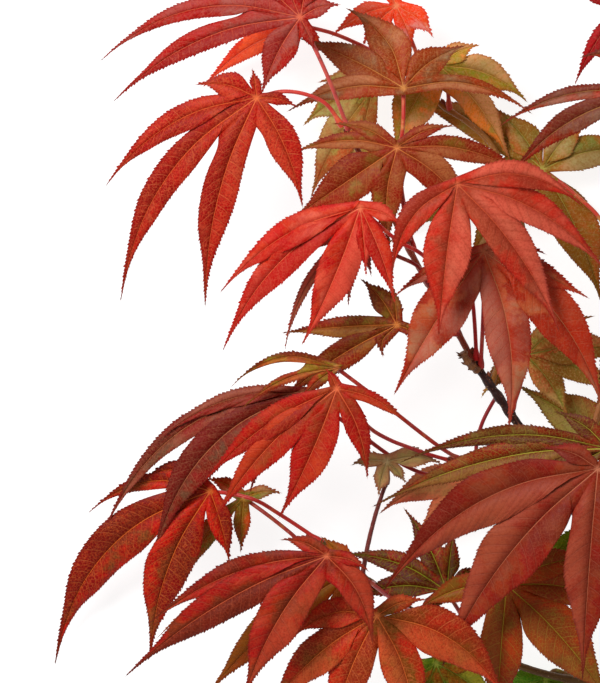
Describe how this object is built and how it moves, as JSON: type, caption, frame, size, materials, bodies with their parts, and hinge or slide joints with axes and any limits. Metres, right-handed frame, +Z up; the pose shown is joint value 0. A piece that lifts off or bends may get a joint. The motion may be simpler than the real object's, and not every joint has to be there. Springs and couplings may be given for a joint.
{
  "type": "cut branch of a red-leaved japanese maple",
  "caption": "Leafy branch cut from a japanese maple, lying face up: a forking stem whose twigs carry stalked red, maroon and olive palmate leaves in loose layers.",
  "frame": {"origin": "middle of the underside of the branch's box, on the surface that it lies on", "axes": "+Z up, away from the surface, out of the leaves' faces; +Y from the cut end of the stem towards the top of the branch; +X towards the side where the cut end lies"},
  "size_m": [0.2202, 0.2534, 0.0823],
  "materials": {
    "bark": "dark grey-brown bark, satin, with pale lenticels",
    "young_bark": "red-brown young bark, smooth and slightly glossy",
    "bright_red": "leaf blade, bright red, matt with a faint sheen, paler veins",
    "crimson": "leaf blade, deep red, matt with a faint sheen",
    "maroon": "leaf blade, maroon-brown, satin, yellow-brown veins",
    "orange_red": "leaf blade, orange-red, matt, fine yellow speckle",
    "brown": "leaf blade, brown turning olive, satin",
    "olive": "leaf blade, dark olive-brown, satin, yellow-green veins",
    "green": "leaf blade, fresh green, satin"
  },
  "bodies": {
    "root": {"main_stem": "bark", "leader": "young_bark", "old_stub": "bark", "middle_twig": "young_bark", "lower_twig": "young_bark", "young_twig": "young_bark", "back_twig": "young_bark", "side_twig": "young_bark", "leaf_crest_left": "bright_red", "leaf_upper_left": "bright_red", "leaf_upper_centre": "maroon", "leaf_centre": "maroon", "leaf_front_centre": "bright_red", "leaf_front_right": "bright_red", "leaf_right_centre": "maroon", "leaf_small_centre": "brown", "leaf_behind_front_centre": "brown", "leaf_middle_left": "crimson", "leaf_middle_left_dark": "maroon", "leaf_middle_left_thin": "orange_red", "leaf_lower_left": "orange_red", "leaf_lower_left_green": "green", "leaf_front_lower": "bright_red", "leaf_front_lower_dark": "olive", "leaf_bottom_centre": "crimson", "leaf_front_lower_right": "bright_red", "leaf_right_green": "olive", "leaf_right_dark": "olive", "leaf_lower_right": "maroon", "leaf_lower_centre_green": "olive", "leaf_foot_green": "green", "leaf_foot_green_right": "green", "leaf_far_right": "maroon", "leaf_side_crest": "bright_red", "leaf_back_right": "olive", "leaf_back_upper": "orange_red", "leaf_back_left": "olive", "leaf_back_crest": "orange_red", "leaf_back_crest_left": "orange_red", "leaf_right_olive": "olive", "leaf_stem_green": "green", "leaf_back_brown": "brown", "leaf_young_leaf": "green", "leaf_side_upper": "maroon", "leaf_side_middle": "crimson", "leaf_side_lower": "olive"}
  },
  "joints": []
}
